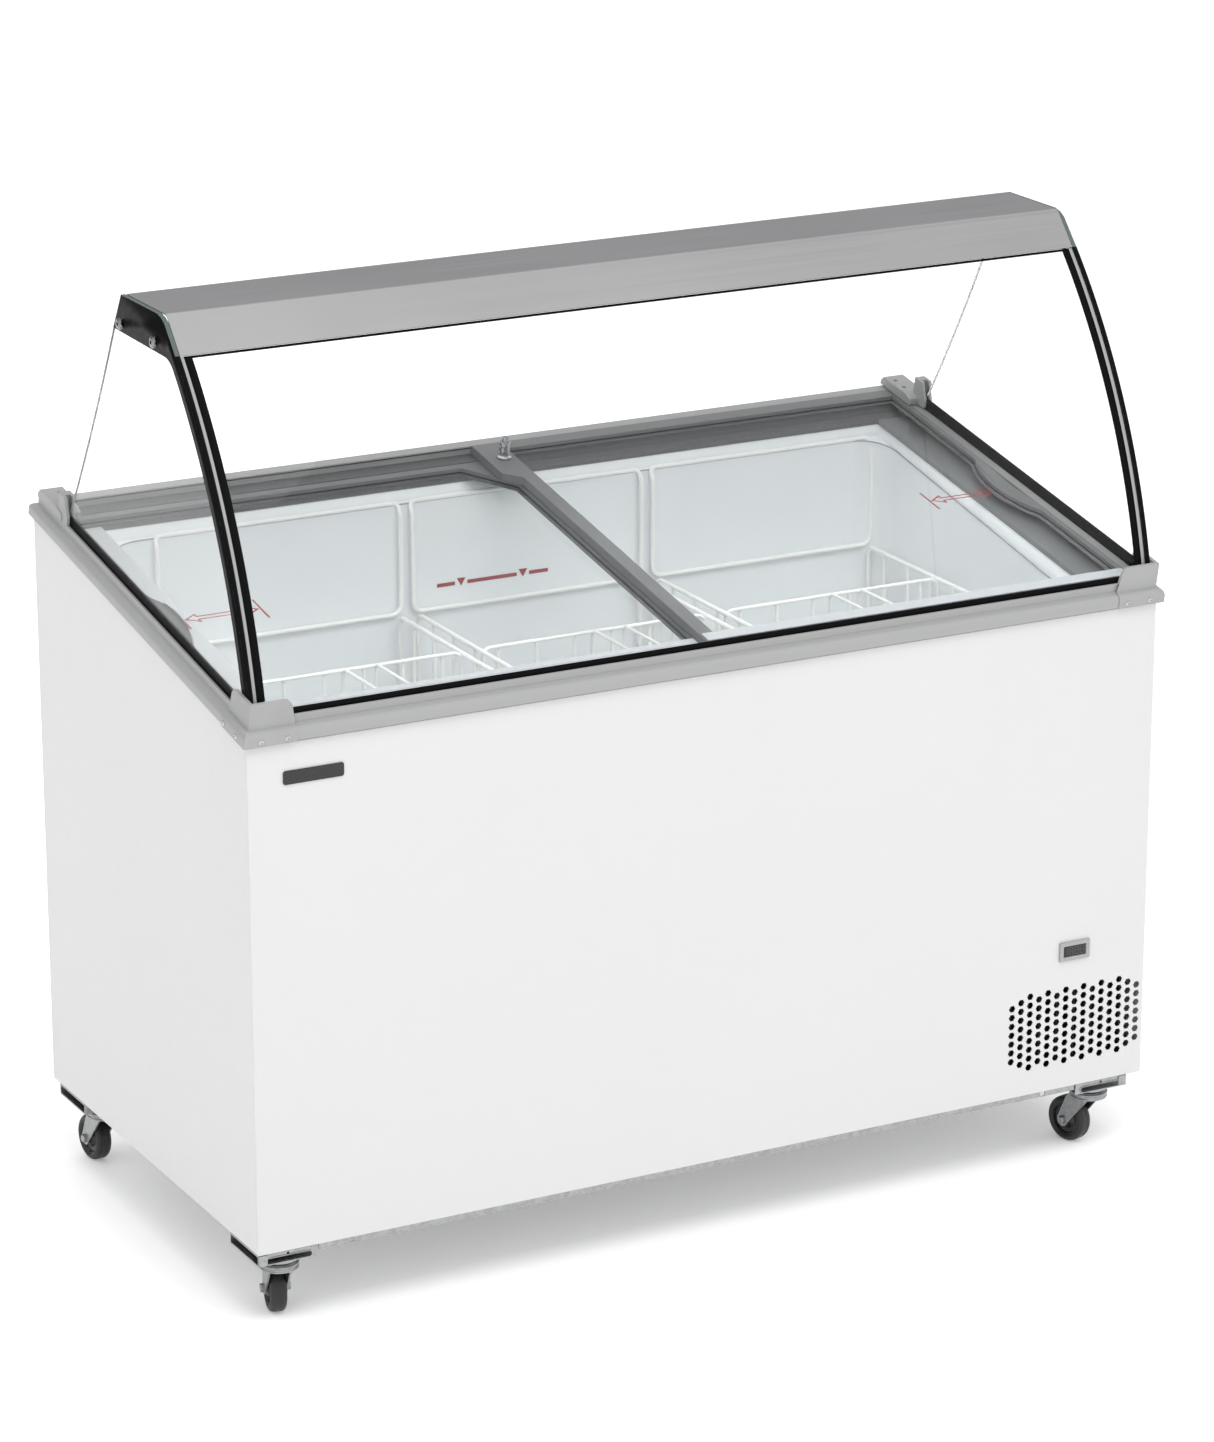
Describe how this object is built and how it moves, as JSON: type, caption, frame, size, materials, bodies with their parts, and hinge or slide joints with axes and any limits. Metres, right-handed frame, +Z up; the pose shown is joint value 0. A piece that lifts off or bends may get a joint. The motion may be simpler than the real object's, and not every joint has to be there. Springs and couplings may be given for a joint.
{
  "type": "ice cream dipping cabinet",
  "caption": "Chest freezer with a sloping top, sliding glass lids, curved sneeze guard, lift-out wire baskets and swivel casters.",
  "frame": {"origin": "on the floor under the middle of the cabinet", "axes": "+Z up; +X to the right as the customer sees it, along the longest side, with the machine compartment at +X; the customers stand at -Y and the server at +Y"},
  "size_m": [1.3042, 0.6744, 1.234],
  "materials": {
    "white_paint": "gloss",
    "galvanised": "satin",
    "foam": "matte",
    "liner": "satin",
    "rim_grey": "satin",
    "lid_grey": "satin",
    "clear_glass": "polished",
    "hood_aluminium": "satin",
    "chrome": "polished",
    "coated_wire": "satin",
    "black_plastic": "satin",
    "bezel_grey": "satin",
    "black_tyre": "matte",
    "copper_tube": "satin",
    "compressor_black": "satin",
    "condenser_black": "matte"
  },
  "bodies": {
    "cabinet": {"front_panel": "white_paint", "rear_panel": "white_paint", "left_side_panel": "white_paint", "right_side_panel": "white_paint", "base_pan": "galvanised", "inner_liner": "liner", "insulation": "foam", "evaporator_coil": "copper_tube", "compressor": "compressor_black", "condenser": "condenser_black", "fan_motor": "condenser_black", "control_panel": "lid_grey", "power_inlet": "black_plastic", "thermometer_bezel": "bezel_grey", "thermometer_display": "black_plastic", "badge_plate": "black_plastic", "front_rail": "rim_grey", "rear_rail": "rim_grey", "left_rail": "rim_grey", "right_rail": "rim_grey", "front_lid_track": "lid_grey", "rear_lid_track": "lid_grey", "left_side_trim": "lid_grey", "right_side_trim": "lid_grey", "left_corner_cap": "rim_grey", "right_corner_cap": "rim_grey", "left_rear_bracket": "rim_grey", "right_rear_bracket": "rim_grey", "left_side_glass": "clear_glass", "right_side_glass": "clear_glass", "front_glass": "clear_glass", "left_joint_strip": "rim_grey", "right_joint_strip": "rim_grey", "hood": "hood_aluminium", "caster_mount_front_left": "galvanised", "caster_mount_front_right": "galvanised", "caster_mount_rear_left": "galvanised", "caster_mount_rear_right": "galvanised"},
    "left_lid": {"left_lid_frame": "lid_grey", "left_lid_glass": "clear_glass"},
    "right_lid": {"right_lid_frame": "lid_grey", "right_lid_glass": "clear_glass", "lock_barrel": "chrome"},
    "lock_plunger": {"lock_plunger": "chrome"},
    "thermostat_knob": {"thermostat_knob": "black_plastic"},
    "fan": {"fan_blades": "lid_grey"},
    "left_basket": {"left_basket": "coated_wire", "left_basket_divider": "coated_wire"},
    "middle_basket": {"middle_basket": "coated_wire", "middle_basket_divider": "coated_wire"},
    "right_basket": {"right_basket": "coated_wire", "right_basket_divider": "coated_wire"},
    "caster_front_left": {"caster_fork_front_left": "galvanised"},
    "caster_front_right": {"caster_fork_front_right": "galvanised"},
    "caster_rear_left": {"caster_fork_rear_left": "galvanised"},
    "caster_rear_right": {"caster_fork_rear_right": "galvanised"},
    "wheel_front_left": {"caster_wheel_front_left": "black_tyre"},
    "wheel_front_right": {"caster_wheel_front_right": "black_tyre"},
    "wheel_rear_left": {"caster_wheel_rear_left": "black_tyre"},
    "wheel_rear_right": {"caster_wheel_rear_right": "black_tyre"}
  },
  "joints": [
    {"name": "left_lid_slide", "type": "slide", "parent": "cabinet", "child": "left_lid", "axis": [1, 0, 0], "range_m": [0, 0.565]},
    {"name": "right_lid_slide", "type": "slide", "parent": "cabinet", "child": "right_lid", "axis": [1, 0, 0], "range_m": [-0.565, 0]},
    {"name": "lock_press", "type": "slide", "parent": "right_lid", "child": "lock_plunger", "axis": [0, 0.1805, -0.9836], "range_m": [0, 0.006], "stiffness_N_per_m": 400, "springref_m": -0.004},
    {"name": "thermostat_turn", "type": "hinge", "parent": "cabinet", "child": "thermostat_knob", "pos_m": [0.583, 0.316, 0.185], "axis": [0, -1, 0], "range_deg": [0, 300]},
    {"name": "fan_spin", "type": "hinge", "parent": "cabinet", "child": "fan", "pos_m": [0.537, -0.25071, 0.19], "axis": [0, 1, 0], "continuous": true},
    {"name": "left_basket_lift", "type": "slide", "parent": "cabinet", "child": "left_basket", "axis": [0, 0, 1], "range_m": [0, 0.015]},
    {"name": "middle_basket_lift", "type": "slide", "parent": "cabinet", "child": "middle_basket", "axis": [0, 0, 1], "range_m": [0, 0.015]},
    {"name": "right_basket_lift", "type": "slide", "parent": "cabinet", "child": "right_basket", "axis": [0, 0, 1], "range_m": [0, 0.015]},
    {"name": "caster_swivel_front_left", "type": "hinge", "parent": "cabinet", "child": "caster_front_left", "pos_m": [-0.605, -0.29971, 0.08], "axis": [0, 0, 1], "continuous": true},
    {"name": "caster_swivel_front_right", "type": "hinge", "parent": "cabinet", "child": "caster_front_right", "pos_m": [0.583, -0.29971, 0.08], "axis": [0, 0, 1], "continuous": true},
    {"name": "caster_swivel_rear_left", "type": "hinge", "parent": "cabinet", "child": "caster_rear_left", "pos_m": [-0.605, 0.25429, 0.08], "axis": [0, 0, 1], "continuous": true},
    {"name": "caster_swivel_rear_right", "type": "hinge", "parent": "cabinet", "child": "caster_rear_right", "pos_m": [0.583, 0.25429, 0.08], "axis": [0, 0, 1], "continuous": true},
    {"name": "wheel_spin_front_left", "type": "hinge", "parent": "caster_front_left", "child": "wheel_front_left", "pos_m": [-0.59702, -0.26769, 0.031], "axis": [0.9703, -0.2419, 0], "continuous": true},
    {"name": "wheel_spin_front_right", "type": "hinge", "parent": "caster_front_right", "child": "wheel_front_right", "pos_m": [0.57446, -0.26783, 0.031], "axis": [0.9659, 0.2588, 0], "continuous": true},
    {"name": "wheel_spin_rear_left", "type": "hinge", "parent": "caster_rear_left", "child": "wheel_rear_left", "pos_m": [-0.60788, 0.28716, 0.031], "axis": [0.9962, 0.0872, 0], "continuous": true},
    {"name": "wheel_spin_rear_right", "type": "hinge", "parent": "caster_rear_right", "child": "wheel_rear_right", "pos_m": [0.57841, 0.28697, 0.031], "axis": [0.9903, 0.1392, 0], "continuous": true}
  ]
}
